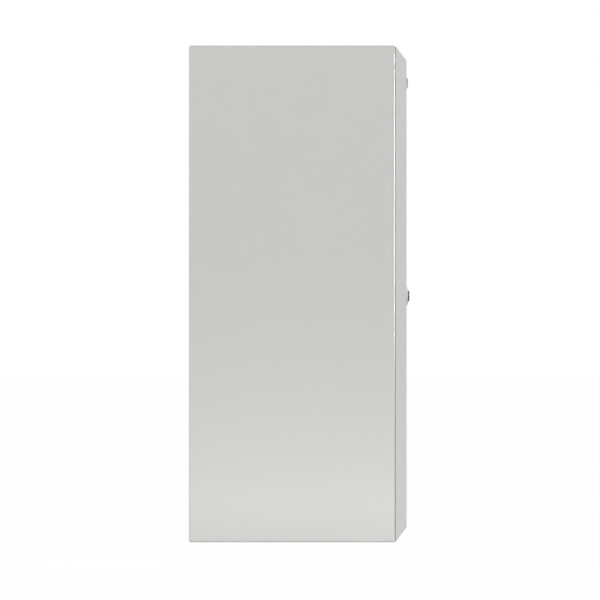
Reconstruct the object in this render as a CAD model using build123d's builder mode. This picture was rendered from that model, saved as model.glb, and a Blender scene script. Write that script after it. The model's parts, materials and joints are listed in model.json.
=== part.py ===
from build123d import *
import os
from math import cos, hypot, radians, tan

# Steel wall enclosure: folded body with a gutter rim, bevelled door, hinges and quarter-turn lock.
# Millimetres. The wall is the plane Y = 0, the door faces -Y and Z is up.
# The origin is the centre of the four wall holes. A depth is a distance in front of the wall.

# Body
width = 400.0
height = 600.0
body_depth = 249.2
sheet = 1.5
body_bend = 2.5
front_bend = 2.0
front_fold = 4.0
fold_edge_r = 1.2
mitre_angle = 45.0
mitre_reach = 8.0
wall_hole_inset = 30.0
wall_hole_r = 4.25

# Door
door_gap = 0.3
door_depth = 14.1
door_bevel = 16.0
door_side_gap = 0.5
door_sheet = 1.5
door_bend = 2.0

# Gasket and sealing lip
gasket_width = 12.0
gasket_thickness = 4.2
gasket_edge = 1.2
gasket_corner_r = 8.0
gasket_gap = 0.3
rim_bend = 1.0

# Hinges
hinge_setback = 14.0
hinge_inset = 90.0
pin_r = 2.0
pin_head_r = 3.3
pin_head = 2.0
pin_tail = 2.0
pin_run = 0.06
pin_fit = 0.03
knuckle_wall = 1.6
knuckle_gap = 0.4
arm_sheet = 3.0
arm_height = 24.0
arm_leg_angle = 22.0
arm_bend = 3.5
arm_swing_gap = 0.9
arm_end_gap = 0.3
door_swing_gap = 0.4
swing_width = 30.0
bracket_side_gap = 1.5
ear_root = 12.0
ear = 4.0
bracket_sheet = 2.0
bracket_gap = 0.6
bracket_height = 66.0
hinge_screw_r = 2.5
hinge_screw_offset = 25.0
hinge_screw_length = 11.0
hinge_screw_head = 2.6
screw_clearance = 0.15
hinge_nut_flats = 8.0
hinge_nut_height = 4.0
hinge_screw_head_r = 4.5
hinge_screw_inset = 10.0
arm_foot_start = 9.5
arm_foot = 10.0

# Lock
lock_inset = 55.0
lock_drop = 2.5
lock_flange_r = 11.7
lock_flange = 2.5
lock_dome = 4.3
lock_dome_drop = 1.8
lock_dome_edge = 1.2
lock_dome_edge_drop = 0.7
lock_recess = 1.3
lock_recess_gap = 0.2
lock_body_r = 8.0
lock_body_gap = 0.2
lock_seal_thickness = 0.8
lock_seal_inset = 0.6
lock_nut_flats = 22.0
lock_nut_height = 5.0
lock_nut_gap = 0.05
lock_grip = 17.0
lock_stem_r = 5.0
lock_stem_gap = 0.1
lock_head_r = 6.7
lock_head = 2.8
lock_head_gap = 0.1
lock_head_edge = 0.4
lock_slot = 1.8
lock_slot_depth = 2.4
lock_square = 7.0
lock_square_gap = 0.1
cam_sheet = 2.5
cam_width = 16.0
cam_gap = 0.4
cam_tip_gap = 1.5
cam_screw_r = 3.0
cam_screw_depth = 12.0
cam_screw_flats = 10.0
cam_screw_head = 4.0
cam_washer_r = 7.0
cam_washer = 1.2
cam_corner_r = 4.0
cam_pinch = 0.2
cam_screw_end_gap = 1.0
keeper_sheet = 2.0
keeper_height = 26.0
keeper_foot = 7.0
keeper_round_share = 0.4
keeper_overlap = 8.0

# Blank plate on the door
blank_length = 40.0
blank_height = 12.0
blank_thickness = 2.6
blank_drop = 42.2
blank_inset = 30.0
blank_edge = 0.8
blank_corner_r = 2.0

# Door rails
rail_inset = 86.0
rail_width = 20.0
rail_depth = 14.0
rail_end_gap = 65.0
rail_bend = 2.5
rail_hole = 9.0
rail_pitch = 25.0

# Mounting plate
plate_margin = 35.0
plate_sheet = 2.5
plate_fold = 10.0
plate_bend = 3.5
plate_stud_inset = 15.0
shoulder_r = 7.0
shoulder = 14.0
plate_stud_r = 4.0
plate_stud_tail = 16.0
plate_hole_gap = 0.5
plate_washer_r = 8.0
plate_washer = 1.6
plate_nut_flats = 13.0
plate_nut_height = 6.5
thread_gap = 0.05
stud_tip_share = 0.2
head_edge_share = 0.3

# Gland plate in the bottom
window_width = 300.0
window_back = 40.0
window_corner_r = 6.0
gland_margin = 13.0
gland_front_gap = 17.9
gland_seal = 3.0
gland_sheet = 2.0
gland_corner_r = 5.0
gland_stud_r = 2.5
gland_stud_length = 14.0
gland_hole_gap = 0.5
gland_nut_flats = 8.0
gland_nut_height = 4.0

# Earth studs
earth_side_inset = 17.5
earth_height = 60.0
earth_stud_r = 4.0
earth_stud_length = 22.0
earth_washer_r = 8.0
earth_washer = 1.6
earth_nut_flats = 13.0
earth_nut_height = 6.5
earth_collar_r = 6.0
earth_stand = 4.0
door_earth_r = 3.0
door_earth_length = 16.0
door_earth_washer_r = 6.0
door_earth_nut_flats = 10.0
door_earth_nut_height = 5.0
door_earth_stand = 3.0
door_earth_side_inset = 140.0
door_earth_height = 85.0

# Depths of the door's planes
rim_depth = body_depth + door_gap
front_depth = rim_depth + door_depth
door_inside = front_depth - door_sheet
door_width = width - 2 * door_side_gap
door_height = height - 2 * door_side_gap
face_width = door_width - 2 * door_bevel
face_height = door_height - 2 * door_bevel

# Hollow of the door, which leaves the sheet's thickness square to the bevel
bevel_length = hypot(door_bevel, door_depth)
rim_wall = door_sheet * bevel_length / door_depth
inside_inset = rim_wall + door_bevel * (door_depth - door_sheet) / door_depth

# Hinge axis, close beside the front fold and behind the front edge
knuckle_r = pin_r + knuckle_wall
hinge_x = width / 2 - front_fold - knuckle_gap - knuckle_r
hinge_depth = body_depth - hinge_setback
hinge_height = height / 2 - hinge_inset

# The fold's tip passes this far from the axis, so the arm and the door's rim stay outside it
tip_reach = hypot(width / 2 - front_bend - hinge_x, hinge_setback - front_bend) + front_bend
web_offset = tip_reach + arm_swing_gap + arm_sheet / 2
leg_rise = web_offset * tan(radians(arm_leg_angle))
arm_side = web_offset + arm_sheet / 2
arm_back = leg_rise + arm_sheet
arm_reach = hypot(arm_side, leg_rise + arm_sheet / 2)

# Gutter and lip, outside the arm's path
floor_front = hinge_depth - arm_back - bracket_gap - bracket_sheet
floor_back = floor_front - sheet
lip_outer = hinge_x - arm_reach
gutter_width = width / 2 - lip_outer
lip_inner = lip_outer - sheet
lip_rise = height / 2 - gutter_width
lip_middle = lip_outer - sheet / 2
lip_middle_rise = lip_rise - sheet / 2
lip_tip = door_inside - gasket_thickness - gasket_gap
leg_outer = width / 2 - front_fold + sheet
leg_outer_rise = height / 2 - front_fold + sheet
leg_front = body_depth - sheet

# Rim of the door on the hinge side, set forward so that it swings past the fold
swing_depth = hinge_depth + tip_reach + door_swing_gap

# Lock
lock_x = -(width / 2 - lock_inset)
lock_z = -lock_drop
housing_base = front_depth + lock_seal_thickness
housing_top = housing_base + lock_flange
housing_end = front_depth - lock_grip + cam_gap
cam_front = front_depth - lock_grip
cam_back = cam_front - cam_sheet
cam_length = lip_inner + lock_x - cam_tip_gap
keeper_front = cam_front + cam_gap + keeper_sheet
keeper_reach = cam_tip_gap + keeper_overlap

# Mounting plate
plate_width = width - 2 * plate_margin
plate_height = height - 2 * plate_margin
plate_back = sheet + shoulder
plate_front = plate_back + plate_sheet
plate_hole_r = plate_stud_r + plate_hole_gap

# Gland plate, on the inside of the bottom
bottom_inside = -height / 2 + sheet
window_depth = floor_back - gland_front_gap - gland_margin - window_back
window_middle = window_back + window_depth / 2
gland_width = window_width + 2 * gland_margin
gland_depth = window_depth + 2 * gland_margin
gland_base = bottom_inside + gland_seal
gland_top = gland_base + gland_sheet
gland_hole_r = gland_stud_r + gland_hole_gap
gland_side = (gland_width - gland_margin) / 2
gland_reach = (gland_depth - gland_margin) / 2
gland_places = [
    (x * gland_side, y * gland_reach - window_middle)
    for x in (-1, 0, 1) for y in (-1, 1)
]

# Places of the small parts
hinge_screw_x = hinge_x - hinge_screw_inset
hinge_screw_places = [
    (hinge_screw_x, s * hinge_height + t * hinge_screw_offset) for s in (-1, 1) for t in (-1, 1)
]
bracket_front = floor_front + bracket_sheet
bracket_left = lip_outer + bracket_side_gap
bracket_right = hinge_x + knuckle_r
ear_near = arm_height / 2 + arm_end_gap
ear_far = ear_near + ear
keeper_back = cam_front + cam_gap
lock_bore_r = lock_stem_r + lock_stem_gap
recess_floor = housing_top - lock_recess
recess_r = lock_head_r + lock_recess_gap
head_base = recess_floor + lock_head_gap
head_top = head_base + lock_head
plate_places = [
    (x * (plate_width / 2 - plate_stud_inset), z * (plate_height / 2 - plate_stud_inset))
    for x in (-1, 1) for z in (-1, 1)
]
earth_place = (-(width / 2 - earth_side_inset), -height / 2 + earth_height)
door_earth_place = (-(width / 2 - door_earth_side_inset), -height / 2 + door_earth_height)
rail_x = width / 2 - rail_inset
rail_length = height - 2 * rail_end_gap
rail_count = int((rail_length - rail_pitch) / rail_pitch)
blank_x = -(width / 2 - blank_inset - blank_length / 2)

# Hinge arm: the foot lies along the inside of the bevel and the slope mirrors the bevel
bevel_run = Vector(-door_bevel, -door_depth) / bevel_length
bevel_inward = Vector(-door_depth, door_bevel) / bevel_length
foot_line = Vector(door_width / 2, -rim_depth) + bevel_inward * (door_sheet + arm_sheet / 2)
foot_tip = foot_line + bevel_run * arm_foot_start
foot_heel = foot_line + bevel_run * (arm_foot_start + arm_foot)
web_x = hinge_x - web_offset
web_end = foot_heel.Y + (foot_heel.X - web_x) * door_depth / door_bevel
arm_path = [
    (hinge_x, -hinge_depth), (web_x, leg_rise - hinge_depth), (web_x, web_end),
    (foot_heel.X, foot_heel.Y), (foot_tip.X, foot_tip.Y),
]

# Hexagon corners, as a share of the width across the flats
corner_share = 1 / (2 * cos(radians(30)))


def facing(depth):
    """Plane parallel to the wall at a depth, looking out at the door, with X right and Y up."""
    return Plane.XZ.offset(depth)


def level(z):
    """Horizontal plane at a height."""
    return Plane.XY.offset(z)


def save(piece, name):
    piece.part.label = name
    export_step(piece.part, f"parts/{name}.step")


def studs(places, base, shank_r, length, collar_r=0.0, collar=0.0):
    """Weld studs standing on a plane, with a shoulder where a collar is given."""
    with BuildPart() as group:
        with BuildSketch(base):
            with Locations(*places):
                Circle(shank_r)
        extrude(amount=length)
        if collar > 0:
            with BuildSketch(base):
                with Locations(*places):
                    Circle(collar_r)
            extrude(amount=collar)
        tips = group.faces().filter_by(base).group_by(lambda f: abs(base.to_local_coords(f.center()).Z))
        chamfer(tips[-1].edges(), shank_r * stud_tip_share)
    return group


def washers(places, base, outer_r, bore_r, thickness):
    """Flat rings that lie on a plane."""
    with BuildPart() as group:
        with BuildSketch(base):
            with Locations(*places):
                Circle(outer_r)
                Circle(bore_r, mode=Mode.SUBTRACT)
        extrude(amount=thickness)
    return group


def nuts(places, base, flats, bore_r, thickness):
    """Hexagon nuts that lie on a plane."""
    with BuildPart() as group:
        with BuildSketch(base):
            with Locations(*places):
                RegularPolygon(radius=flats * corner_share, side_count=6)
                Circle(bore_r, mode=Mode.SUBTRACT)
        extrude(amount=thickness)
    return group


os.makedirs("parts", exist_ok=True)


def mitred_area(side):
    """Outline of the top (side 1) or the bottom (side -1) seen from the front, with mitred ends."""
    with BuildSketch(facing(body_bend)) as area:
        with Locations((0, side * (height - mitre_reach) / 2)):
            Trapezoid(width, mitre_reach, mitre_angle, rotation=90 + 90 * side)
    return area.sketch


# Whole welded body: back, sides, top and bottom, with its front edges folded in
with BuildPart() as body_form:
    Box(width, body_depth, height, align=(Align.CENTER, Align.MAX, Align.CENTER))
    wrap_edges = body_form.edges().filter_by(Axis.Y) + body_form.faces().sort_by(Axis.Y)[-1].edges()
    fillet(wrap_edges, body_bend)
    offset(amount=-sheet, openings=body_form.faces().sort_by(Axis.Y)[0])
    with BuildSketch(facing(body_depth - sheet)):
        RectangleRounded(width, height, body_bend)
        Rectangle(width - 2 * front_fold, height - 2 * front_fold, mode=Mode.SUBTRACT)
    extrude(amount=sheet)
    fold_face = body_form.faces().sort_by(Axis.Y)[0]
    fillet(fold_face.outer_wire().edges(), front_bend)
    fold_face = body_form.faces().sort_by(Axis.Y)[0]
    fillet(fold_face.inner_wires()[0].edges(), fold_edge_r)
    with BuildSketch(facing(0)):
        with GridLocations(width - 2 * wall_hole_inset, height - 2 * wall_hole_inset, 2, 2):
            Circle(wall_hole_r)
    extrude(amount=sheet, mode=Mode.SUBTRACT)
    with BuildSketch(level(-height / 2)):
        with Locations((0, -window_middle)):
            RectangleRounded(window_width, window_depth, window_corner_r)
    extrude(amount=sheet, mode=Mode.SUBTRACT)

# Body shell: the sheet that is bent into the back and both sides
with BuildPart() as body_shell:
    add(body_form)
    for side in (1, -1):
        extrude(mitred_area(side), amount=body_depth, mode=Mode.SUBTRACT)
save(body_shell, "body_shell")

# Top and bottom sheets, welded in along the back bend and the mitred corners
for side, name in ((1, "body_top"), (-1, "body_bottom")):
    with BuildPart() as body_end:
        add(body_form)
        extrude(mitred_area(side), amount=body_depth, mode=Mode.INTERSECT)
    save(body_end, name)

# Gutter frame: sheet folded down from the front fold, across the gutter floor and out to the lip
with BuildPart() as gutter_frame:
    with BuildSketch(facing(floor_back)):
        Rectangle(2 * leg_outer, 2 * leg_outer_rise)
        Rectangle(2 * lip_inner, 2 * (lip_rise - sheet), mode=Mode.SUBTRACT)
    extrude(amount=sheet)
    with BuildSketch(facing(floor_back)):
        Rectangle(2 * leg_outer, 2 * leg_outer_rise)
        Rectangle(2 * (leg_outer - sheet), 2 * (leg_outer_rise - sheet), mode=Mode.SUBTRACT)
    extrude(amount=leg_front - floor_back)
    with BuildSketch(facing(floor_back)):
        Rectangle(2 * lip_outer, 2 * lip_rise)
        Rectangle(2 * lip_inner, 2 * (lip_rise - sheet), mode=Mode.SUBTRACT)
    extrude(amount=lip_tip - floor_back)
    floor_face = gutter_frame.faces().sort_by(Axis.Y)[-1]
    fillet(floor_face.edges(), rim_bend)
    with BuildSketch(facing(floor_back)):
        with Locations(*hinge_screw_places):
            Circle(hinge_screw_r + screw_clearance)
    extrude(amount=sheet, mode=Mode.SUBTRACT)
save(gutter_frame, "gutter_frame")

# Gland plate over the window, with its seal, studs and nuts
with BuildPart() as gland_plate_seal:
    with BuildSketch(level(bottom_inside)):
        with Locations((0, -window_middle)):
            Rectangle(gland_width, gland_depth)
            RectangleRounded(window_width, window_depth, window_corner_r, mode=Mode.SUBTRACT)
        with Locations(*gland_places):
            Circle(gland_hole_r, mode=Mode.SUBTRACT)
    extrude(amount=gland_seal)
save(gland_plate_seal, "gland_plate_seal")

with BuildPart() as gland_plate:
    with BuildSketch(level(gland_base)):
        with Locations((0, -window_middle)):
            RectangleRounded(gland_width, gland_depth, gland_corner_r)
        with Locations(*gland_places):
            Circle(gland_hole_r, mode=Mode.SUBTRACT)
    extrude(amount=gland_sheet)
save(gland_plate, "gland_plate")

save(studs(gland_places, level(bottom_inside), gland_stud_r, gland_stud_length), "gland_plate_studs")
save(nuts(gland_places, level(gland_top), gland_nut_flats, gland_stud_r + thread_gap, gland_nut_height),
     "gland_plate_nuts")

# Mounting plate with folded sides, on shouldered studs
with BuildPart() as mounting_plate:
    with BuildSketch(level(-plate_height / 2)):
        with Locations((0, -(plate_front - plate_fold / 2))):
            Rectangle(plate_width, plate_fold)
        with Locations((0, -(plate_back - plate_fold / 2))):
            Rectangle(plate_width - 2 * plate_sheet, plate_fold, mode=Mode.SUBTRACT)
    extrude(amount=plate_height)
    front_corners = mounting_plate.faces().sort_by(Axis.Y)[0].edges().filter_by(Axis.Z)
    fillet(front_corners, plate_bend)
    with BuildSketch(facing(plate_back)):
        with Locations(*plate_places):
            Circle(plate_hole_r)
    extrude(amount=plate_sheet, mode=Mode.SUBTRACT)
save(mounting_plate, "mounting_plate")

save(studs(plate_places, facing(sheet), plate_stud_r, shoulder + plate_stud_tail, shoulder_r, shoulder),
     "mounting_studs")
save(washers(plate_places, facing(plate_front), plate_washer_r, plate_stud_r + thread_gap, plate_washer),
     "mounting_washers")
save(nuts(plate_places, facing(plate_front + plate_washer), plate_nut_flats, plate_stud_r + thread_gap,
          plate_nut_height), "mounting_nuts")

# Earth stud in the body, beside the mounting plate
save(studs([earth_place], facing(sheet), earth_stud_r, earth_stud_length, earth_collar_r, earth_stand),
     "body_earth_stud")
save(washers([earth_place], facing(sheet + earth_stand), earth_washer_r, earth_stud_r + thread_gap,
             earth_washer), "body_earth_washer")
save(nuts([earth_place], facing(sheet + earth_stand + earth_washer), earth_nut_flats,
          earth_stud_r + thread_gap, earth_nut_height), "body_earth_nut")

# Keeper on the lip, which the lock's cam turns behind
with BuildPart() as lock_keeper:
    with BuildSketch(level(lock_z - keeper_height / 2)):
        with Locations((-lip_inner, -keeper_back)):
            Rectangle(keeper_reach, keeper_sheet + keeper_foot, align=(Align.MIN, Align.MAX))
        with Locations((-lip_inner + keeper_sheet, -keeper_front)):
            Rectangle(keeper_reach, keeper_foot, align=(Align.MIN, Align.MAX), mode=Mode.SUBTRACT)
    extrude(amount=keeper_height)
    fillet(lock_keeper.edges().filter_by(Axis.Z).group_by(Axis.X)[-1], keeper_sheet * keeper_round_share)
save(lock_keeper, "lock_keeper")


def hinge_bracket(z):
    """Base on the gutter floor, with an ear above and below the arm."""
    with BuildPart() as bracket:
        with BuildSketch(facing(floor_front)):
            with Locations((bracket_left, z)):
                Rectangle(bracket_right - bracket_left, bracket_height, align=(Align.MIN, Align.CENTER))
            with Locations(*[(hinge_screw_x, z + side * hinge_screw_offset) for side in (-1, 1)]):
                Circle(hinge_screw_r + screw_clearance, mode=Mode.SUBTRACT)
        extrude(amount=bracket_sheet)
        for bottom in (z - ear_far, z + ear_near):
            with BuildSketch(level(bottom)):
                with Locations((hinge_x, -hinge_depth)):
                    Circle(knuckle_r)
                with Locations((bracket_right, -bracket_front)):
                    Rectangle(ear_root, bracket_sheet, align=(Align.MAX, Align.MIN))
                make_hull()
                with Locations((hinge_x, -hinge_depth)):
                    Circle(pin_r + pin_fit, mode=Mode.SUBTRACT)
            extrude(amount=ear)
    return bracket


def hinge_pin(z):
    """Headed pin, dropped in from above."""
    with BuildPart() as pin:
        with BuildSketch(level(z - ear_far - pin_tail)):
            with Locations((hinge_x, -hinge_depth)):
                Circle(pin_r)
        extrude(amount=2 * ear_far + pin_tail)
        with BuildSketch(level(z + ear_far)):
            with Locations((hinge_x, -hinge_depth)):
                Circle(pin_head_r)
        extrude(amount=pin_head)
        chamfer(pin.faces().sort_by(Axis.Z)[0].edges(), pin_r * stud_tip_share)
        chamfer(pin.faces().sort_by(Axis.Z)[-1].edges(), pin_head * head_edge_share)
    return pin


def hinge_arm(z):
    """Strip bent round the fold's swing: leg, web, slope and a foot against the bevel."""
    with BuildPart() as arm:
        with BuildSketch(level(z - arm_height / 2)):
            with BuildLine():
                FilletPolyline(*arm_path, radius=arm_bend)
                offset(amount=arm_sheet / 2)
            make_face()
            with Locations((hinge_x, -hinge_depth)):
                Circle(knuckle_r)
        extrude(amount=arm_height)
        with BuildSketch(level(z - arm_height / 2)):
            with Locations((hinge_x, -hinge_depth)):
                Circle(pin_r + pin_run)
        extrude(amount=arm_height, mode=Mode.SUBTRACT)
    return arm


for place, z in (("lower", -hinge_height), ("upper", hinge_height)):
    save(hinge_bracket(z), f"hinge_bracket_{place}")
    save(hinge_pin(z), f"hinge_pin_{place}")
    save(hinge_arm(z), f"hinge_arm_{place}")

# Screws through the hinge brackets, into nuts welded behind the gutter floor
with BuildPart() as hinge_screws:
    with BuildSketch(facing(bracket_front - hinge_screw_length)):
        with Locations(*hinge_screw_places):
            Circle(hinge_screw_r)
    extrude(amount=hinge_screw_length)
    with BuildSketch(facing(bracket_front)):
        with Locations(*hinge_screw_places):
            Circle(hinge_screw_head_r)
    extrude(amount=hinge_screw_head)
    chamfer(hinge_screws.faces().group_by(Axis.Y)[0].edges(), hinge_screw_head * head_edge_share)
save(hinge_screws, "hinge_screws")
save(nuts(hinge_screw_places, facing(floor_back - hinge_nut_height), hinge_nut_flats,
          hinge_screw_r + thread_gap, hinge_nut_height), "hinge_weld_nuts")

# Door: a tray with bevelled sides and mitred corners, open at the back
with BuildPart() as door_panel:
    with BuildSketch(facing(rim_depth)):
        Rectangle(door_width, door_height)
    with BuildSketch(facing(front_depth)):
        Rectangle(face_width, face_height)
    loft()
    rim_face = door_panel.faces().sort_by(Axis.Y)[-1]
    fillet(door_panel.edges() - rim_face.edges(), door_bend)
    with BuildSketch(facing(rim_depth)):
        Rectangle(door_width - 2 * rim_wall, door_height - 2 * rim_wall)
    with BuildSketch(facing(door_inside)):
        Rectangle(door_width - 2 * inside_inset, door_height - 2 * inside_inset)
    loft(mode=Mode.SUBTRACT)
    with BuildSketch(facing(rim_depth)):
        with Locations((door_width / 2, 0)):
            Rectangle(2 * swing_width, door_height)
    extrude(amount=swing_depth - rim_depth, mode=Mode.SUBTRACT)
    with BuildSketch(facing(door_inside)):
        with Locations((lock_x, lock_z)):
            Circle(lock_body_r + lock_body_gap)
    extrude(amount=door_sheet, mode=Mode.SUBTRACT)
save(door_panel, "door_panel")

# Foam seal that meets the lip
with BuildPart() as door_gasket:
    with BuildSketch(facing(door_inside)):
        RectangleRounded(2 * lip_middle + gasket_width, 2 * lip_middle_rise + gasket_width, gasket_corner_r)
        RectangleRounded(2 * lip_middle - gasket_width, 2 * lip_middle_rise - gasket_width,
                         gasket_corner_r / 2, mode=Mode.SUBTRACT)
    extrude(amount=-gasket_thickness)
    chamfer(door_gasket.faces().sort_by(Axis.Y)[-1].edges(), gasket_edge)
save(door_gasket, "door_gasket")


def door_rail(x):
    """Punched channel whose two legs stand on the inside of the door."""
    with BuildPart() as rail:
        with BuildSketch(level(-rail_length / 2)):
            with Locations((x, -door_inside)):
                Rectangle(rail_width, rail_depth, align=(Align.CENTER, Align.MIN))
                Rectangle(rail_width - 2 * sheet, rail_depth - sheet, align=(Align.CENTER, Align.MIN),
                          mode=Mode.SUBTRACT)
        extrude(amount=rail_length)
        web = rail.faces().sort_by(Axis.Y)[-1]
        fillet(web.edges().filter_by(Axis.Z), rail_bend)
        with BuildSketch(facing(door_inside - rail_depth)):
            with Locations((x, 0)):
                with GridLocations(rail_pitch, rail_pitch, 1, rail_count):
                    Rectangle(rail_hole, rail_hole)
        extrude(amount=sheet, mode=Mode.SUBTRACT)
    return rail


save(door_rail(-rail_x), "door_rail_left")
save(door_rail(rail_x), "door_rail_right")

# Blank plate near the top of the door
with BuildPart() as blank_plate:
    with BuildSketch(facing(front_depth)):
        with Locations((blank_x, height / 2 - blank_drop)):
            RectangleRounded(blank_length, blank_height, blank_corner_r)
    extrude(amount=blank_thickness)
    chamfer(blank_plate.faces().sort_by(Axis.Y)[0].edges(), blank_edge)
save(blank_plate, "blank_plate")

# Earth stud on the door
save(studs([door_earth_place], facing(door_inside), door_earth_r, -door_earth_length), "door_earth_stud")
save(washers([door_earth_place], facing(door_inside - door_earth_stand), door_earth_washer_r,
             door_earth_r + thread_gap, -earth_washer), "door_earth_washer")
save(nuts([door_earth_place], facing(door_inside - door_earth_stand - earth_washer), door_earth_nut_flats,
          door_earth_r + thread_gap, -door_earth_nut_height), "door_earth_nut")

# Lock housing: domed flange outside with a recess for the insert's head, threaded body through the door
lock_plane = Plane(origin=(lock_x, 0, lock_z), x_dir=(1, 0, 0), z_dir=(0, 0, -1))
lock_axis = Axis((lock_x, 0, lock_z), (0, -1, 0))
with BuildPart() as lock_housing:
    with BuildSketch(lock_plane):
        with BuildLine():
            Polyline((lock_bore_r, housing_end), (lock_bore_r, recess_floor), (recess_r, recess_floor),
                     (recess_r, housing_top), (lock_flange_r - lock_dome, housing_top),
                     (lock_flange_r - lock_dome_edge, housing_top - lock_dome_edge_drop),
                     (lock_flange_r, housing_top - lock_dome_drop),
                     (lock_flange_r, housing_base), (lock_body_r, housing_base),
                     (lock_body_r, housing_end), close=True)
        make_face()
    revolve(axis=lock_axis)
save(lock_housing, "lock_housing")

save(washers([(lock_x, lock_z)], facing(front_depth), lock_flange_r - lock_seal_inset,
             lock_body_r + thread_gap, lock_seal_thickness), "lock_seal")
save(nuts([(lock_x, lock_z)], facing(door_inside), lock_nut_flats, lock_body_r + lock_nut_gap,
          -lock_nut_height), "lock_nut")

# Lock insert: slotted head, stem through the housing and a square for the cam
with BuildPart() as lock_insert:
    with BuildSketch(lock_plane):
        with BuildLine():
            Polyline((0, cam_front), (lock_stem_r, cam_front), (lock_stem_r, head_base),
                     (lock_head_r, head_base), (lock_head_r, head_top - lock_head_edge),
                     (lock_head_r - lock_head_edge, head_top), (0, head_top), close=True)
        make_face()
    revolve(axis=lock_axis)
    with BuildSketch(facing(head_top - lock_slot_depth)):
        with Locations((lock_x, lock_z)):
            Rectangle(2 * lock_head_r, lock_slot)
    extrude(amount=lock_slot_depth, mode=Mode.SUBTRACT)
    with BuildSketch(facing(cam_front)):
        with Locations((lock_x, lock_z)):
            Rectangle(lock_square, lock_square)
    extrude(amount=-(cam_sheet - cam_pinch))
    with BuildSketch(facing(cam_back)):
        with Locations((lock_x, lock_z)):
            Circle(cam_screw_r + thread_gap)
    extrude(amount=cam_screw_depth, mode=Mode.SUBTRACT)
save(lock_insert, "lock_insert")

# Cam, shown unlocked with its tongue up, and the screw that holds it
with BuildPart() as lock_cam:
    with BuildSketch(facing(cam_front)):
        with Locations((lock_x, lock_z)):
            Circle(cam_width / 2)
            Rectangle(cam_width, cam_length, align=(Align.CENTER, Align.MIN))
            Rectangle(lock_square + 2 * lock_square_gap, lock_square + 2 * lock_square_gap,
                      mode=Mode.SUBTRACT)
    extrude(amount=-cam_sheet)
    fillet(lock_cam.edges().filter_by(Axis.Y).group_by(Axis.Z)[-1], cam_corner_r)
save(lock_cam, "lock_cam")

save(washers([(lock_x, lock_z)], facing(cam_back), cam_washer_r, cam_screw_r + thread_gap, -cam_washer),
     "lock_cam_washer")
with BuildPart() as lock_cam_screw:
    with BuildSketch(facing(cam_back - cam_washer)):
        with Locations((lock_x, lock_z)):
            Circle(cam_screw_r)
    extrude(amount=cam_washer + cam_screw_depth - cam_screw_end_gap)
    with BuildSketch(facing(cam_back - cam_washer)):
        with Locations((lock_x, lock_z)):
            RegularPolygon(radius=cam_screw_flats * corner_share, side_count=6)
    extrude(amount=-cam_screw_head)
save(lock_cam_screw, "lock_cam_screw")
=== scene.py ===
import json
import math
import bpy
import numpy as np
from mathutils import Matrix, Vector


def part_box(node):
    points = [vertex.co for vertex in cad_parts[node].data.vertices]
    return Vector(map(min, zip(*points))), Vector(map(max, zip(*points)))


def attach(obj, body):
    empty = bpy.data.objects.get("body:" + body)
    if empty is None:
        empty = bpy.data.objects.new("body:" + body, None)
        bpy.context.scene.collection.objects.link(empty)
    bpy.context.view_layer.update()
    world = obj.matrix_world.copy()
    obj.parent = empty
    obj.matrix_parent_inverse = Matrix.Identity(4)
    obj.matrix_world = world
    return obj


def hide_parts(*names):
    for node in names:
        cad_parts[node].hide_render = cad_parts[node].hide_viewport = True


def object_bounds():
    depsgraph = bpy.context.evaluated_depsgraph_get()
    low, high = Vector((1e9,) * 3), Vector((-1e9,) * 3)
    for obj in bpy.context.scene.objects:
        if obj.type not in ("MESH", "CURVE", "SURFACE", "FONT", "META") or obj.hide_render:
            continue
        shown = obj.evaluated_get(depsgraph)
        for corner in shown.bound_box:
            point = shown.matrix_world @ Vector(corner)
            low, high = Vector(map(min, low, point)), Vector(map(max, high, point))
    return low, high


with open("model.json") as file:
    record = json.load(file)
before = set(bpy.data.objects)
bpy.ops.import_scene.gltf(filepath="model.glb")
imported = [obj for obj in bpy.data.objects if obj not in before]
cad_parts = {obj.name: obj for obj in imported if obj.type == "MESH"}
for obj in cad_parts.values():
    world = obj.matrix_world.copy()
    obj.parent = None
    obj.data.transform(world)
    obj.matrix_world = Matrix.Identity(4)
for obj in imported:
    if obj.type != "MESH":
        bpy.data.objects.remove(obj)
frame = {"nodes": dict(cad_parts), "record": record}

# Steel wall enclosure, seen from the side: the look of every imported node, and finer pieces in place of
# the small fasteners, the lock's metalwork, the foam seal and the blank plate.
# Lengths in the dictionaries are millimetres. A depth is a distance in front of the wall.

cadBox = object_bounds()
mm = 0.001


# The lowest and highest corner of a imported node, in millimetres
def boxOf(node):
    low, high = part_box(node)
    return np.array(low) / mm, np.array(high) / mm


# Shader sums: a wire is an output socket, and an expression on wires adds its Math nodes
class Wire:
    def __init__(self, nodes, socket):
        self.nodes = nodes
        self.socket = socket

    def join(self, operation, first, second):
        return self.nodes.node("ShaderNodeMath", {"operation": operation}, {0: first, 1: second})

    def __add__(self, other):
        return self.join("ADD", self, other)

    def __rsub__(self, other):
        return self.join("SUBTRACT", other, self)

    def __mul__(self, other):
        return self.join("MULTIPLY", self, other)

    def __or__(self, other):
        return self.join("MAXIMUM", self, other)

    __radd__ = __add__
    __rmul__ = __mul__


# A node tree: one call makes any node from its type, its settings and its sockets' values or wires
class Nodes:
    def __init__(self, tree):
        self.tree = tree
        self.tree.nodes.clear()

    def node(self, kind, settings=None, sockets=None, out=0):
        made = self.tree.nodes.new(kind)
        for key, value in (settings or {}).items():
            setattr(made, key, value)
        for key, value in (sockets or {}).items():
            if isinstance(value, Wire):
                self.tree.links.new(value.socket, made.inputs[key])
            else:
                made.inputs[key].default_value = value
        return Wire(self, made.outputs[out]) if made.outputs else made


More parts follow.
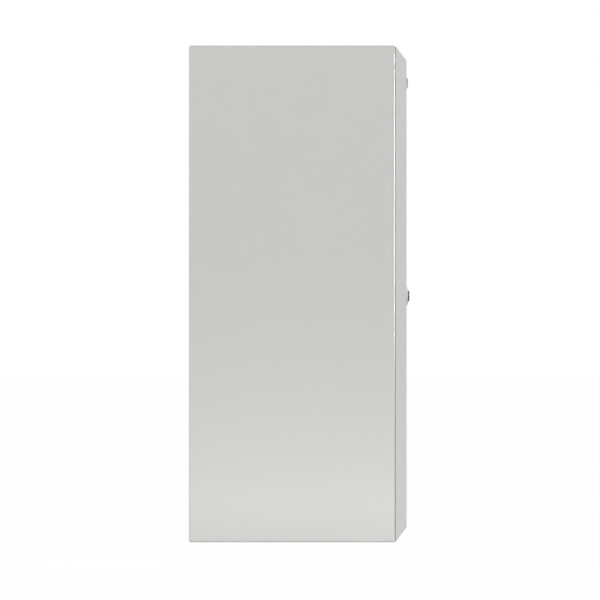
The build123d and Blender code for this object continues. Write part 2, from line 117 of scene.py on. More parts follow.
# A material with one Principled shader, whose plain numbers are set on its own sockets
class Finish(Nodes):
    def __init__(self, name, **constants):
        self.material = bpy.data.materials.new(name)
        self.material.use_nodes = True
        super().__init__(self.material.node_tree)
        self.place = self.node("ShaderNodeTexCoord", out="Object")
        self.shader = self.tree.nodes.new("ShaderNodeBsdfPrincipled")
        for socket, value in constants.items():
            self.shader.inputs[socket.replace("_", " ")].default_value = value
        self.output = self.node("ShaderNodeOutputMaterial", None,
                                {"Surface": Wire(self, self.shader.outputs[0])})

    def feed(self, **wires):
        for socket, wire in wires.items():
            self.tree.links.new(wire.socket, self.shader.inputs[socket.replace("_", " ")])

    # Noise whose grain is about so many millimetres across
    def noise(self, grain, detail=2.0):
        return self.node("ShaderNodeTexNoise", None,
                         {"Vector": self.place, "Scale": 1 / (grain * mm), "Detail": detail})

    # Cells about so many millimetres across: the distance to their middle, or their random colour
    def cells(self, size, out="Distance"):
        return self.node("ShaderNodeTexVoronoi", None, {"Vector": self.place, "Scale": 1 / (size * mm)}, out)

    # Brightness of a colour, as a number
    def grey(self, wire):
        return self.node("ShaderNodeRGBToBW", None, {0: wire})

    def blend(self, factor, first, second):
        return self.node("ShaderNodeMix", {"data_type": "RGBA"},
                         {0: factor, 6: (*first, 1), 7: (*second, 1)}, 2)

    def bump(self, height, depth, strength=1.0):
        return self.node("ShaderNodeBump", None,
                         {"Height": height, "Distance": depth * mm, "Strength": strength})


# Light grey powder coat: a fine orange peel, with a slow drift in tone over the whole sheet
def powderCoat():
    coat = {"pale": (0.622, 0.617, 0.603), "deep": (0.578, 0.573, 0.560), "gloss": 0.5,
            "peel": 1.5, "speck": 0.5, "drift": 130.0, "peelTone": 0.55, "speckTone": 0.25, "driftTone": 0.2,
            "rough": 0.27, "speckRough": 0.08, "driftRough": 0.03, "speckHigh": 0.25, "depth": 0.035}
    made = Finish("powder coat", Specular_IOR_Level=coat["gloss"])
    peel = made.noise(coat["peel"], 2.0)
    speck = made.noise(coat["speck"], 1.0)
    drift = made.noise(coat["drift"], 2.0)
    tone = coat["peelTone"] * peel + coat["speckTone"] * speck + coat["driftTone"] * drift
    made.feed(Base_Color=made.blend(tone, coat["deep"], coat["pale"]),
              Roughness=coat["rough"] + coat["speckRough"] * speck + coat["driftRough"] * drift,
              Normal=made.bump(peel + coat["speckHigh"] * speck, coat["depth"]))
    return made


# Galvanised sheet: flat crystals of zinc in two sizes that catch the light differently, with a fine grain
def zincSheet():
    zinc = {"light": (0.70, 0.715, 0.73), "dull": (0.50, 0.515, 0.53), "crystal": 11.0, "small": 4.4,
            "grain": 0.6, "crystalTone": 0.55, "smallTone": 0.25, "grainTone": 0.2,
            "rough": 0.34, "crystalRough": 0.16, "grainRough": 0.06, "depth": 0.01}
    made = Finish("galvanised sheet", Metallic=1.0)
    crystal = made.grey(made.cells(zinc["crystal"], "Color"))
    small = made.grey(made.cells(zinc["small"], "Color"))
    grain = made.noise(zinc["grain"], 2.0)
    tone = zinc["crystalTone"] * crystal + zinc["smallTone"] * small + zinc["grainTone"] * grain
    made.feed(Base_Color=made.blend(tone, zinc["dull"], zinc["light"]),
              Roughness=zinc["rough"] + zinc["crystalRough"] * crystal + zinc["grainRough"] * grain,
              Normal=made.bump(grain + crystal, zinc["depth"]))
    return made


# Foamed seal: a dark matt skin with small closed pores, whose pits are coloured darker as painted shade
def foamSeal():
    foam = {"skin": (0.062, 0.062, 0.067), "poreShade": (0.028, 0.028, 0.030), "gloss": 0.3, "poreSize": 0.9,
            "cloud": 12.0, "poreShadeShare": 0.7, "cloudTone": 0.4, "rough": 0.82, "cloudRough": 0.12,
            "depth": 0.12, "strength": 0.7}
    made = Finish("foam seal", Specular_IOR_Level=foam["gloss"])
    pores = made.cells(foam["poreSize"])
    cloud = made.noise(foam["cloud"], 2.0)
    # Painted shade: the pores' cell field darkens the colour towards each pit, where the bump sinks it
    tone = foam["poreShadeShare"] * pores + foam["cloudTone"] * cloud
    made.feed(Base_Color=made.blend(tone, foam["poreShade"], foam["skin"]),
              Roughness=foam["rough"] + foam["cloudRough"] * cloud,
              Normal=made.bump(pores, foam["depth"], foam["strength"]))
    return made


# The small parts' finishes follow two noises, a broad cloud and a fine grain. Each has its size in
# millimetres and its detail, then its share in the tone and its share in the roughness.
grained = {
    # Bright zinc on screws, nuts, washers and pins
    "fastener": {"name": "bright zinc", "light": (0.74, 0.75, 0.76), "dark": (0.58, 0.59, 0.61), "metal": 1.0,
                 "gloss": 0.5, "rough": 0.22, "cloud": (3.0, 3.0, 1.0, 0.14), "grain": (0.25, 1.0, 0.0, 0.05),
                 "depth": 0.004},
    # Copper flash on the weld studs, duller where it has begun to tarnish
    "copper_steel": {"name": "copper flash", "light": (0.68, 0.40, 0.28), "dark": (0.46, 0.27, 0.19),
                     "metal": 1.0, "gloss": 0.5, "rough": 0.44, "cloud": (2.5, 3.0, 1.0, -0.16),
                     "grain": (0.25, 1.0, 0.0, 0.05), "depth": 0.004},
    # Satin nickel on the die-cast lock
    "die_cast": {"name": "satin nickel", "light": (0.73, 0.72, 0.70), "dark": (0.60, 0.595, 0.58),
                 "metal": 1.0, "gloss": 0.5, "rough": 0.26, "cloud": (4.0, 2.0, 1.0, 0.05),
                 "grain": (0.18, 1.0, 0.0, 0.10), "depth": 0.004},
    # Black rubber under the gland plate and the lock's flange
    "rubber": {"name": "black rubber", "light": (0.034, 0.034, 0.035), "dark": (0.022, 0.022, 0.023),
               "metal": 0.0, "gloss": 0.4, "rough": 0.58, "cloud": (9.0, 2.0, 1.0, 0.14),
               "grain": (0.35, 2.0, 0.0, 0.0), "depth": 0.02},
    # Moulded plastic of the lock's insert and of the blank plate, with the spark grain of the mould
    "black_plastic": {"name": "black plastic", "light": (0.020, 0.020, 0.021), "dark": (0.011, 0.011, 0.012),
                      "metal": 0.0, "gloss": 0.25, "rough": 0.42, "cloud": (6.0, 2.0, 0.5, 0.0),
                      "grain": (0.22, 2.0, 0.5, 0.10), "depth": 0.008},
    "pale_plastic": {"name": "pale plastic", "light": (0.490, 0.468, 0.465), "dark": (0.450, 0.430, 0.427),
                     "metal": 0.0, "gloss": 0.5, "rough": 0.34, "cloud": (6.0, 2.0, 0.5, 0.0),
                     "grain": (0.22, 2.0, 0.5, 0.10), "depth": 0.008},
}


def grainedFinish(own):
    made = Finish(own["name"], Metallic=own["metal"], Specular_IOR_Level=own["gloss"])
    cloud = made.noise(*own["cloud"][:2])
    grain = made.noise(*own["grain"][:2])
    cloudTone, cloudRough = own["cloud"][2:]
    grainTone, grainRough = own["grain"][2:]
    made.feed(Base_Color=made.blend(grainTone * grain + cloudTone * cloud, own["dark"], own["light"]),
              Roughness=own["rough"] + cloudRough * cloud + grainRough * grain,
              Normal=made.bump(grain, own["depth"]))
    return made


finishes = {"coat": powderCoat(), "zinc": zincSheet(), "foam": foamSeal()}
finishes.update({name: grainedFinish(own) for name, own in grained.items()})
slotOf = {row["node"]: row["material_slot"] for row in frame["record"]["subparts"]}
bodyOf = {node: body for body, nodes in frame["record"]["behaviour"]["bodies"].items() for node in nodes}
for node, carried in frame["nodes"].items():
    for place in carried.material_slots:
        place.material = finishes[slotOf[node]].material
print("finishes on", len(frame["nodes"]), "nodes")


# Skins: rings of points (rings, points round, 3) joined into closed surfaces, all rings of one skin alike.
# A "fan" skin is closed at both ends by a fan to the ring's middle, and a "loop" skin joins its last ring
# to its first. A skin whose enclosed volume comes out negative is turned, so faces point outwards.
def skinFaces(rings, ends):
    count, around = rings.shape[:2]
    points = rings.reshape(-1, 3)
    row = np.arange(count if ends == "loop" else count - 1)[:, None]
    column = np.arange(around)[None, :]
    after = (column + 1) % around
    above = (row + 1) % count
    quads = np.stack([row * around + column, row * around + after, above * around + after,
                      above * around + column], axis=-1).reshape(-1, 4)
    triangles = np.concatenate([quads[:, [0, 1, 2]], quads[:, [0, 2, 3]]])
    if ends == "fan":
        first, last = len(points), len(points) + 1
        points = np.concatenate([points, rings[0].mean(axis=0)[None], rings[-1].mean(axis=0)[None]])
        here = np.arange(around)
        there = (here + 1) % around
        top = (count - 1) * around
        caps = np.concatenate([np.stack([here * 0 + first, there, here], axis=-1),
                               np.stack([here * 0 + last, here + top, there + top], axis=-1)])
        triangles = np.concatenate([triangles, caps])
    else:
        caps = np.zeros((0, 3), int)
    corners = points[triangles]
    volume = np.einsum("ij,ij->i", corners[:, 0], np.cross(corners[:, 1], corners[:, 2])).sum()
    if volume < 0:
        quads, caps = quads[:, ::-1], caps[:, ::-1]
    return points, quads, caps


# One object from several skins, put in by foreach_set, with its place in its mesh
def addPiece(name, skins, node, ends="fan", sharp=32.0):
    allPoints, loops, starts, offset, reached = [], [], [], 0, 0
    for rings in skins:
        points, quads, caps = skinFaces(rings, ends)
        for faces in (quads, caps):
            starts.append(reached + np.arange(len(faces)) * faces.shape[1])
            loops.append((faces + offset).ravel())
            reached += faces.size
        offset += len(points)
        allPoints.append(points)
    allPoints, loops, starts = (np.concatenate(part) for part in (allPoints, loops, starts))
    mesh = bpy.data.meshes.new(name)
    mesh.vertices.add(len(allPoints))
    mesh.vertices.foreach_set("co", (allPoints * mm).ravel())
    mesh.loops.add(len(loops))
    mesh.loops.foreach_set("vertex_index", loops.astype(np.int32))
    mesh.polygons.add(len(starts))
    mesh.polygons.foreach_set("loop_start", starts.astype(np.int32))
    mesh.update(calc_edges=True)
    mesh.validate()
    mesh.shade_smooth()
    mesh.set_sharp_from_angle(angle=math.radians(sharp))
    piece = bpy.data.objects.new(name, mesh)
    bpy.context.scene.collection.objects.link(piece)
    mesh.materials.append(finishes[slotOf[node]].material)
    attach(piece, bodyOf[node])
    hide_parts(node)


# Local axes of a fastener: across, across and along its axis
axesFor = {
    "out": np.array([(1, 0, 0), (0, 0, 1), (0, -1, 0)]),
    "back": np.array([(1, 0, 0), (0, 0, -1), (0, 1, 0)]),
    "up": np.array([(1, 0, 0), (0, 1, 0), (0, 0, 1)]),
}


def stand(rings, origin, way):
    return np.asarray(origin) + rings @ axesFor[way]


# Rings about an axis: radius is (rings,) or (rings, points round), height likewise
def turned(radius, height, around=48):
    angle = np.arange(around) * 2 * np.pi / around
    radius = np.asarray(radius, float)
    height = np.asarray(height, float)
    radius = radius if radius.ndim == 2 else np.repeat(radius[:, None], around, axis=1)
    height = height if height.ndim == 2 else np.repeat(height[:, None], around, axis=1)
    return np.stack([radius * np.cos(angle), radius * np.sin(angle), height], axis=-1)


# Threads: the groove's depth and the tip's cut as shares of the pitch, the bend of the flanks, rings to a
# pitch, and the start of a rod above the face that it stands on
thread = {"deep": 0.55, "flank": 0.8, "tipCut": 0.7, "rings": 6, "start": 0.02}


# Threaded rod: the radius falls by a V whose phase climbs one pitch a turn, cut back at the tip
def threaded(radius, pitch, base, tip, around=48):
    angle = np.arange(around) / around
    height = np.linspace(base, tip, max(2, round((tip - base) / pitch * thread["rings"])))[:, None]
    phase = (height / pitch - angle[None, :]) % 1
    groove = thread["deep"] * pitch * (1 - np.abs(2 * phase - 1)) ** thread["flank"]
    cut = thread["tipCut"] * pitch
    limit = radius - cut + np.minimum(tip - height, cut)
    return turned(np.minimum(radius - groove, limit), np.repeat(height, around, axis=1), around)


# Hexagon: the distance to the flats over the cosine of the angle from the nearest flat
def hexRadius(flats, around=72):
    fromFlat = (np.arange(around) * 2 * np.pi / around) % (np.pi / 3) - np.pi / 6
    return flats / 2 / np.cos(fromFlat)


# Hexagon ends: the cone's slope in degrees, its inner radius and a bore's countersink as shares of the flats
hexEnd = {"cone": 30.0, "edge": 0.477, "sink": 0.035}


# Coned end: the lesser of the hexagon's radius and of a cone's, which widens as it rises to the corners
def conedEnd(flats):
    slope = math.tan(math.radians(hexEnd["cone"]))
    edge = flats * hexEnd["edge"]
    rise = np.linspace(0, (flats / 2 / math.cos(math.pi / 6) - edge) * slope, 5)
    return np.minimum(hexRadius(flats)[None, :], (edge + rise / slope)[:, None]), rise


# Nut: a hexagon with both ends coned, and a bore with a small countersink
def nutRings(flats, bore, thickness):
    lower, rise = conedEnd(flats)
    sink = flats * hexEnd["sink"]
    inner = np.repeat([[bore], [bore + sink]], 72, axis=1)
    radius = np.concatenate([inner, lower, lower[::-1], inner[::-1]])
    height = np.concatenate([[sink, 0], rise, thickness - rise[::-1], [thickness, thickness - sink]])
    return turned(radius, height, 72)


# Washer: a flat ring with its edges just broken
def washerRings(outer, bore, thickness, edge=0.2, around=64):
    radius = [bore, bore + edge, outer - edge, outer, outer, outer - edge, bore + edge, bore]
    height = [edge, 0, 0, edge, thickness - edge, thickness, thickness, thickness - edge]
    return turned(radius, height, around)


# Weld stud: a turned shoulder, where it has one, and a threaded rod to its tip
def studRings(rodRadius, pitch, length, shoulder=0.0, shoulderHigh=0.0, edge=0.3):
    rod = threaded(rodRadius, pitch, shoulderHigh + thread["start"], length)
    root = rodRadius - thread["deep"] * pitch
    if shoulderHigh:
        return np.concatenate([turned([shoulder, shoulder, shoulder - edge, root],
                                      [0, shoulderHigh - edge, shoulderHigh, shoulderHigh]), rod])
    return np.concatenate([turned([root], [0]), rod])


# The four places of a group that lies evenly about the middle, so far inside its box
def fourPlaces(node, reach):
    high = boxOf(node)[1]
    return [(x * (high[0] - reach), z * (high[2] - reach)) for x in (-1, 1) for z in (-1, 1)]


# Middle of a node's box
def middleOf(node):
    return sum(boxOf(node)) / 2


# Mounting plate: shouldered studs, washers and nuts
plateFixing = {"thread": 4.0, "pitch": 1.25, "shoulder": 7.0, "shoulderHigh": 14.0, "washer": 8.0,
               "washerHigh": 1.6, "flats": 13.0, "nutHigh": 6.5, "clear": 0.05}


def plateFixings():
    own = plateFixing
    bore = own["thread"] + own["clear"]
    places = fourPlaces("mounting_washers", own["washer"])
    low, high = boxOf("mounting_studs")
    stud = studRings(own["thread"], own["pitch"], high[1] - low[1], own["shoulder"], own["shoulderHigh"])
    addPiece("mountingStuds", [stand(stud, (x, high[1], z), "out") for x, z in places], "mounting_studs")
    washer = washerRings(own["washer"], bore, own["washerHigh"])
    front = boxOf("mounting_washers")[1][1]
    addPiece("mountingWashers", [stand(washer, (x, front, z), "out") for x, z in places],
             "mounting_washers", "loop")
    nut = nutRings(own["flats"], bore, own["nutHigh"])
    front = boxOf("mounting_nuts")[1][1]
    addPiece("mountingNuts", [stand(nut, (x, front, z), "out") for x, z in places], "mounting_nuts", "loop")


# Gland plate: studs on the bottom and nuts over the plate, three along each long side
glandFixing = {"thread": 2.5, "pitch": 0.8, "flats": 8.0, "nutHigh": 4.0, "clear": 0.05}


def glandFixings():
    own = glandFixing
    low, high = boxOf("gland_plate_studs")
    reach = own["thread"]
    places = [(x, y) for x in (low[0] + reach, 0, high[0] - reach)
              for y in (low[1] + reach, high[1] - reach)]
    stud = studRings(own["thread"], own["pitch"], high[2] - low[2])
    addPiece("glandPlateStuds", [stand(stud, (x, y, low[2]), "up") for x, y in places], "gland_plate_studs")
    nut = nutRings(own["flats"], own["thread"] + own["clear"], own["nutHigh"])
    base = boxOf("gland_plate_nuts")[0][2]
    addPiece("glandPlateNuts", [stand(nut, (x, y, base), "up") for x, y in places],
             "gland_plate_nuts", "loop")


# Earth studs: one in the body on a shoulder, a smaller one inside the door, and the way that each points
earthFixings = {
    "body": {"thread": 4.0, "pitch": 1.25, "shoulder": 6.0, "shoulderHigh": 4.0, "washer": 8.0, "flats": 13.0,
             "clear": 0.05, "way": "out"},
    "door": {"thread": 3.0, "pitch": 1.0, "shoulder": 0.0, "shoulderHigh": 0.0, "washer": 6.0, "flats": 10.0,
             "clear": 0.05, "way": "back"},
}


def addEarthFixings():
    for name, own in earthFixings.items():
        bore = own["thread"] + own["clear"]
        for part in ("stud", "washer", "nut"):
            node = f"{name}_earth_{part}"
            low, high = boxOf(node)
            thick = high[1] - low[1]
            if part == "stud":
                rings = studRings(own["thread"], own["pitch"], thick, own["shoulder"], own["shoulderHigh"])
            elif part == "washer":
                rings = washerRings(own["washer"], bore, thick)
            else:
                rings = nutRings(own["flats"], bore, thick)
            foot = high[1] if own["way"] == "out" else low[1]
            x, _, z = middleOf(node)
            addPiece(f"{name}Earth{part.title()}", [stand(rings, (x, foot, z), own["way"])], node,
                     "fan" if part == "stud" else "loop")


# Hinge screws with a domed head and a hexagon socket, the nuts behind them, and the headed pins
hingeFixing = {"thread": 2.5, "pitch": 0.8, "head": 4.5, "headHigh": 2.6, "headSide": 0.35, "socket": 3.0,
               "socketDeep": 1.5, "socketRim": 2.1, "mouth": 1.06, "mouthDeep": 0.12, "nutFlats": 8.0,
               "nutHigh": 4.0, "clear": 0.05, "pin": 2.0, "pinHead": 3.3, "pinHeadHigh": 2.0, "pinPoint": 0.5,
               "pinEdge": 0.45}


# Screw: rod, flat under the head, quarter ellipse up to the socket's rim, then the hexagon down to its floor
def screwRings(own, length):
    bend = np.linspace(0, np.pi / 2, 9)
    rod = threaded(own["thread"], own["pitch"], 0, length, 72)[::-1] * (1, 1, -1)
    dome = turned(own["socketRim"] + (own["head"] - own["socketRim"]) * np.cos(bend),
                  own["headSide"] + (own["headHigh"] - own["headSide"]) * np.sin(bend), 72)
    socket = hexRadius(own["socket"])[None, :] * np.array([[own["mouth"]], [1.0], [1.0]])
    floor = turned(socket, own["headHigh"] - np.array([0, own["mouthDeep"], own["socketDeep"]]), 72)
    return np.concatenate([rod, turned([own["head"]], [0], 72), dome, floor])


# Pin: pointed shank, flat under the head, and a head with a round edge
def pinRings(own, length):
    bend = np.linspace(0, np.pi / 2, 7)
    edge = own["pinHeadHigh"] * own["pinEdge"]
    neck = length - own["pinHeadHigh"]
    radius = [own["pin"] - own["pinPoint"], own["pin"], own["pin"], own["pinHead"]]
    height = [0, own["pinPoint"], neck, neck]
    return turned(np.concatenate([radius, own["pinHead"] - edge + edge * np.cos(bend)]),
                  np.concatenate([height, length - edge + edge * np.sin(bend)]))


def hingeFixings():
    own = hingeFixing
    low, high = boxOf("hinge_screws")
    brackets = [middleOf("hinge_bracket_lower")[2], middleOf("hinge_bracket_upper")[2]]
    apart = high[2] - own["head"] - brackets[1]
    x = high[0] - own["head"]
    places = [(x, z + side * apart) for z in brackets for side in (-1, 1)]
    seat = low[1] + own["headHigh"]
    screw = screwRings(own, high[1] - seat)
    addPiece("hingeScrews", [stand(screw, (x, seat, z), "out") for x, z in places], "hinge_screws")
    nut = nutRings(own["nutFlats"], own["thread"] + own["clear"], own["nutHigh"])
    back = boxOf("hinge_weld_nuts")[1][1]
    addPiece("hingeWeldNuts", [stand(nut, (x, back, z), "out") for x, z in places],
             "hinge_weld_nuts", "loop")
    for name in ("lower", "upper"):
        node = f"hinge_pin_{name}"
        low, high = boxOf(node)
        x, y, _ = middleOf(node)
        pin = stand(pinRings(own, high[2] - low[2]), (x, y, low[2]), "up")
        addPiece(f"hingePin{name.title()}", [pin], node)


# Quarter-turn lock: domed flange with a recess, threaded body, hexagon nut, and the cam's washer and screw
lockMetal = {"bore": 5.1, "boreEdge": 0.3, "recess": 6.9, "recessDeep": 1.3, "recessEdge": 0.15, "flat": 7.4,
             "domeDrop": 1.8, "flangeEdge": 0.2, "body": 8.0, "pitch": 1.0, "nutFlats": 22.0, "nutGap": 0.05,
             "washer": 7.0, "washerBore": 3.05, "screw": 3.0, "screwPoint": 0.5, "screwFlats": 10.0,
             "screwHead": 4.0}


# Housing, by depth: up the bore, over the recess's step and the dome's quarter ellipse, back down the thread
def housingRings(own, rear, seat, top, flange):
    bend = np.linspace(0, np.pi / 2, 12)
    floor = top - own["recessDeep"]
    bore = turned([own["bore"] + own["boreEdge"], own["bore"], own["bore"], own["recess"], own["recess"],
                   own["recess"] + own["recessEdge"]],
                  [rear, rear + own["boreEdge"], floor, floor, top - own["recessEdge"], top], 96)
    dome = turned(own["flat"] + (flange - own["flat"]) * np.sin(bend),
                  top - own["domeDrop"] * (1 - np.cos(bend)), 96)
    skirt = turned([flange, flange - own["flangeEdge"], own["body"] - thread["deep"] * own["pitch"]],
                   [seat + own["flangeEdge"], seat, seat], 96)
    rod = threaded(own["body"], own["pitch"], rear, seat - thread["start"], 96)
    return np.concatenate([bore, dome, skirt, rod[::-1]])


# Screw seen from behind: its hexagon head with a coned edge, then the shank forward to its tip
def camScrewRings(own, length):
    head, rise = conedEnd(own["screwFlats"])
    point = own["screwPoint"]
    radius = np.concatenate([head, head[-1:], np.full((3, 72), own["screw"])])
    radius[-1] -= point
    height = np.concatenate([rise, [own["screwHead"], own["screwHead"], length - point, length]])
    return turned(radius, height, 72)


def lockPieces():
    own = lockMetal
    low, high = boxOf("lock_housing")
    x, _, z = middleOf("lock_housing")
    seat = boxOf("lock_seal")[0][1]
    housing = housingRings(own, -high[1], -seat, -low[1], (high[0] - low[0]) / 2)
    addPiece("lockHousing", [stand(housing, (x, 0, z), "out")], "lock_housing", "loop")
    low, high = boxOf("lock_nut")
    nut = nutRings(own["nutFlats"], own["body"] + own["nutGap"], high[1] - low[1])
    addPiece("lockNut", [stand(nut, (x, high[1], z), "out")], "lock_nut", "loop")
    low, high = boxOf("lock_cam_washer")
    washer = washerRings(own["washer"], own["washerBore"], high[1] - low[1])
    addPiece("lockCamWasher", [stand(washer, (x, high[1], z), "out")], "lock_cam_washer", "loop")
    low, high = boxOf("lock_cam_screw")
    addPiece("lockCamScrew", [stand(camScrewRings(own, high[1] - low[1]), (x, high[1], z), "out")],
             "lock_cam_screw")


# Insert: its slot lies a little off level, as its near end in the photograph is above the middle. Each half
# of the head reaches a little way into the stem.
insertHead = {"head": 6.7, "edge": 0.8, "slot": 1.6, "slotDeep": 2.2, "slotEdge": 0.25, "turn": -9.0,
              "stem": 5.0, "square": 7.0, "squareCorner": 4.6, "squareHigh": 2.3, "screwBore": 3.05,
              "screwDeep": 10.0, "headHigh": 2.8, "intoStem": 0.2}


# Half of a slotted disc: an arc from one end of the slot's edge to the other, and back along the edge
def halfDisc(radius, gap, turn, height):
    first = math.asin(gap / radius)
    angle = np.linspace(first, np.pi - first, 40)
    back = np.linspace(-1, 1, 16)[1:-1] * radius * math.cos(first)
    x = np.concatenate([radius * np.cos(angle), back])
    y = np.concatenate([radius * np.sin(angle), np.full(len(back), gap)])
    return np.stack([x * math.cos(turn) - y * math.sin(turn),
                     x * math.sin(turn) + y * math.cos(turn), np.full(len(x), height)], axis=-1)


# Square: the distance to the flats over the cosine of the angle from the nearest flat, cut at its corners
def squareRadius(flats, corner, around=72):
    angle = np.arange(around) * 2 * np.pi / around
    return np.minimum(flats / 2 / np.cos((angle + np.pi / 4) % (np.pi / 2) - np.pi / 4), corner)


def addLockInsert():
    own = insertHead
    low, high = boxOf("lock_insert")
    x, _, z = middleOf("lock_insert")
    rear, top = -high[1], -low[1]
    floor = top - own["slotDeep"]
    seat = top - own["headHigh"]
    shoulder = rear + own["squareHigh"]
    square = squareRadius(own["square"], own["squareCorner"])
    rounds = {name: np.full((2, 72), own[name]) for name in ("screwBore", "stem", "head")}
    radius = np.concatenate([rounds["screwBore"], [square, square], rounds["stem"], rounds["head"]])
    height = [rear + own["screwDeep"], rear, rear, shoulder, shoulder, seat, seat, floor]
    addPiece("lockInsertStem", [stand(turned(radius, height, 72), (x, 0, z), "out")], "lock_insert")
    bend = np.linspace(0, np.pi / 2, 7)
    inset = np.concatenate([[0], own["edge"] * (1 - np.cos(bend))])
    height = np.concatenate([[floor - own["intoStem"]], top - own["edge"] * (1 - np.sin(bend))])
    halves = []
    for turn in (0, math.pi):
        rings = [halfDisc(own["head"] - inward, own["slot"] / 2 + own["slotEdge"] * inward,
                          turn + math.radians(own["turn"]), rise) for inward, rise in zip(inset, height)]
        halves.append(stand(np.array(rings), (x, 0, z), "out"))
    addPiece("lockInsertHead", halves, "lock_insert")


# Points round a rectangle with round corners, and the outward way at each: four quarter turns, each about
# its own corner's middle
def roundedLoop(halfX, halfZ, radius, perCorner=9):
    angle = (np.arange(4)[:, None] * np.pi / 2 + np.linspace(0, np.pi / 2, perCorner)[None, :]).ravel()
    away = np.stack([np.cos(angle), np.sin(angle)], axis=-1)
    signs = np.repeat([(1, 1), (-1, 1), (-1, -1), (1, -1)], perCorner, axis=0)
    return signs * (halfX - radius, halfZ - radius) + radius * away, away


# Foam seal: a bead poured round the inside of the door, a little uneven, with the lip's mark pressed along
# its middle. Powers below one fill out its dome and flanks. Each wave has its count round the door and phase.
foamBead = {"wide": 12.0, "corner": 6.3, "step": 5.0, "dome": 0.55, "flank": 0.75, "under": 0.45,
            "uneven": 0.10, "waves": ((23, 0), (61, 1), (97, 2)), "mark": 0.35, "markWide": 1.2}


# The bead's section runs a half turn: across is half the width times a power of the cosine, and the rise is
# the height times a power of the sine, less a bell-shaped mark. Three points close it below. It is carried
# along the rounded rectangle's points and straight runs, and both sizes take a sum of sines along the way.
def addFoamBead():
    own = foamBead
    wide, uneven = own["wide"], own["uneven"]
    low, high = boxOf("door_gasket")
    corners, away = roundedLoop((high[0] - low[0] - wide) / 2, (high[2] - low[2] - wide) / 2, own["corner"])
    closed = np.concatenate([corners, corners[:1]])
    length = np.concatenate([[0], np.cumsum(np.linalg.norm(np.diff(closed, axis=0), axis=1))])
    reach = np.unique(np.concatenate([length[:-1], np.arange(0, length[-1], own["step"])]))
    path = np.stack([np.interp(reach, length, closed[:, k]) for k in (0, 1)], axis=-1)
    aside = np.stack([np.interp(reach, length, np.append(away[:, k], away[0, k])) for k in (0, 1)], axis=-1)
    turn = reach[:, None] / length[-1] * 2 * np.pi
    swell = uneven * sum(np.sin(count * turn + phase) for count, phase in own["waves"]) / len(own["waves"])
    bend = np.linspace(0, np.pi, 25)[None, :]
    side = np.sign(np.cos(bend)) * np.abs(np.cos(bend)) ** own["flank"]
    across = (wide / 2 - uneven + swell) * side
    rise = (high[1] - low[1] - uneven + swell) * np.sin(bend) ** own["dome"]
    rise = rise - own["mark"] * np.exp(-(across / own["markWide"]) ** 2)
    under = np.array([-1, 0, 1])[None, :] * wide * own["under"] + 0 * turn
    across = np.concatenate([across, under], axis=1)
    rise = np.concatenate([np.maximum(rise, 0), 0 * under], axis=1)
    place = path[:, None, :] + aside[:, None, :] * across[:, :, None]
    rings = np.stack([place[:, :, 0], low[1] + rise, place[:, :, 1]], axis=-1)
    addPiece("doorFoamSeal", [rings], "door_gasket", "loop", 60)


# Blank plate: rings of a rounded rectangle, up a quarter-round edge and over a slight crown, which falls off
# as the square of the way out from the middle
blankPlate = {"corner": 2.0, "leastCorner": 0.4, "edge": 1.1, "crown": 0.35, "middle": 1.0}


def addBlankPlate():
    own = blankPlate
    low, high = boxOf("blank_plate")
    half = (high - low) / 2
    x, _, z = middleOf("blank_plate")
    bend = np.linspace(0, np.pi / 2, 7)
    edge, thick = own["edge"], 2 * half[1]
    top = np.linspace(edge, half[2] - own["middle"], 6)[1:]
    inset = np.concatenate([[0], edge * (1 - np.cos(bend)), top])
    crown = thick - own["crown"] * (1 - (top - edge) / (half[2] - edge)) ** 2
    height = np.concatenate([[0], thick - own["crown"] - edge * (1 - np.sin(bend)), crown])
    rings = []
    for inward, rise in zip(inset, height):
        corner = max(own["corner"] - inward, own["leastCorner"])
        loop = roundedLoop(half[0] - inward, half[2] - inward, corner)[0]
        rings.append(np.column_stack([x + loop[:, 0], np.full(len(loop), high[1] - rise), z + loop[:, 1]]))
    addPiece("blankPlate", [np.array(rings)], "blank_plate", sharp=50)


plateFixings()
glandFixings()
addEarthFixings()
hingeFixings()
print("threaded fasteners, nuts, washers and pins")
lockPieces()
addLockInsert()
addFoamBead()
addBlankPlate()
print("lock, foam seal and blank plate")


# Camera: level, square to the side of the box, as far off as the photograph's small perspective asks
view = {"distance": 2800.0, "lens": 139.2, "sensor": 36.0, "farthest": 50.0,
        "middleY": -134.2, "middleZ": -7.4}


def setCamera():
    data = bpy.data.cameras.new("camera")
    data.lens = view["lens"]
    data.sensor_width = view["sensor"]
    data.clip_end = view["farthest"]
    camera = bpy.data.objects.new("camera", data)
    bpy.context.scene.collection.objects.link(camera)
    camera.location = (cadBox[0][0] - view["distance"] * mm, view["middleY"] * mm, view["middleZ"] * mm)
    camera.rotation_euler = (math.radians(90), 0, math.radians(-90))
    bpy.context.scene.camera = camera


# Lamps: soft panels that face a point, with their width and height in millimetres and a power in watts. The
# low one brightens the foot of the box. The narrow strip stands edge on in the plane of the side wall, in
# front of the door, and spreads its light over few degrees, so that it gleams on the rounded front fold and
# reaches no flat outer face.
lamps = {
    "lampLow": {"at": (-430, -185, -276), "toward": (-200, -175, -284), "size": (720, 48), "power": 0.235},
    "stripFront": {"at": (-198.3, -843, 145), "toward": (-198.3, -249, 120), "size": (3, 400), "power": 4.2,
                   "spread": 50, "gleamOn": "body_shell"},
}


def setLamps():
    for name, own in lamps.items():
        data = bpy.data.lights.new(name, "AREA")
        data.shape = "RECTANGLE"
        data.size, data.size_y = (side * mm for side in own["size"])
        data.energy = own["power"]
        lamp = bpy.data.objects.new(name, data)
        bpy.context.scene.collection.objects.link(lamp)
        start = Vector(own["at"]) * mm
        lamp.location = start
        lamp.rotation_euler = (Vector(own["toward"]) * mm - start).to_track_quat("-Z", "Y").to_euler()
        lamp.visible_camera = False
        if "gleamOn" in own:
            data.spread = math.radians(own["spread"])
            lamp.visible_diffuse = False
            reached = bpy.data.collections.new(name)
            reached.objects.link(frame["nodes"][own["gleamOn"]])
            lamp.light_linking.receiver_collection = reached


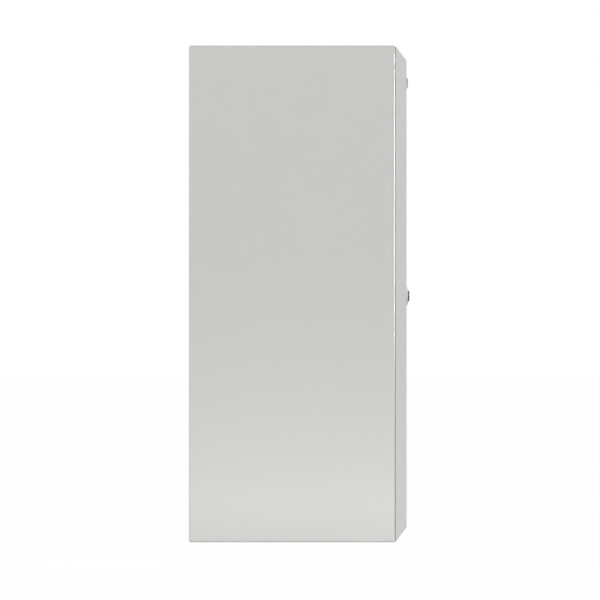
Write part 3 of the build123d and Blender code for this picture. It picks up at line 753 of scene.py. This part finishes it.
# World: plain white to the camera and in reflections, and as light a pale ring with a darker ceiling
sky = {"seen": 1.0, "ring": 2.1, "ceiling": 0.32, "top": 0.75}


def setWorld():
    world = bpy.data.worlds.new("world")
    world.use_nodes = True
    bpy.context.scene.world = world
    made = Nodes(world.node_tree)
    way = made.node("ShaderNodeTexCoord", out="Generated")
    rise = made.node("ShaderNodeSeparateXYZ", None, {0: way}, "Z")
    level = made.node("ShaderNodeMapRange", None, {"Value": rise, "From Min": 0.0, "From Max": sky["top"],
                                                   "To Min": sky["ring"], "To Max": sky["ceiling"]})
    path = {name: made.node("ShaderNodeLightPath", out=f"Is {name} Ray")
            for name in ("Camera", "Glossy", "Transmission")}
    seen = path["Camera"] | path["Glossy"] | path["Transmission"]
    glow = made.node("ShaderNodeBackground", None,
                     {"Color": (1, 1, 1, 1), "Strength": seen * sky["seen"] + (1 - seen) * level})
    made.node("ShaderNodeOutputWorld", None, {"Surface": glow})


# Floor: a wide pale sheet under the box, lifted to white for the camera with the shadow left in
floor = {"half": 6000.0, "tone": 0.9, "rough": 0.9, "lift": 0.97}


def setFloor():
    reach = floor["half"] * mm
    low = cadBox[0][2]
    mesh = bpy.data.meshes.new("floor")
    mesh.from_pydata([(x * reach, y * reach, low) for x, y in ((-1, -1), (1, -1), (1, 1), (-1, 1))],
                     [], [(0, 1, 2, 3)])
    sheet = bpy.data.objects.new("floor", mesh)
    bpy.context.scene.collection.objects.link(sheet)
    made = Finish("floor", Base_Color=(floor["tone"],) * 3 + (1,), Roughness=floor["rough"],
                  Specular_IOR_Level=0.0)
    glow = made.node("ShaderNodeEmission", None, {"Color": (1, 1, 1, 1), "Strength": 1.0})
    seen = made.node("ShaderNodeLightPath", out="Is Camera Ray")
    mixed = made.node("ShaderNodeMixShader", None,
                      {0: seen * floor["lift"], 1: Wire(made, made.shader.outputs[0]), 2: glow})
    made.tree.links.new(mixed.socket, made.output.inputs["Surface"])
    mesh.materials.append(made.material)


setCamera()
setLamps()
setWorld()
setFloor()
bpy.context.scene.view_settings.view_transform = "Standard"
print("camera, lamps and floor")
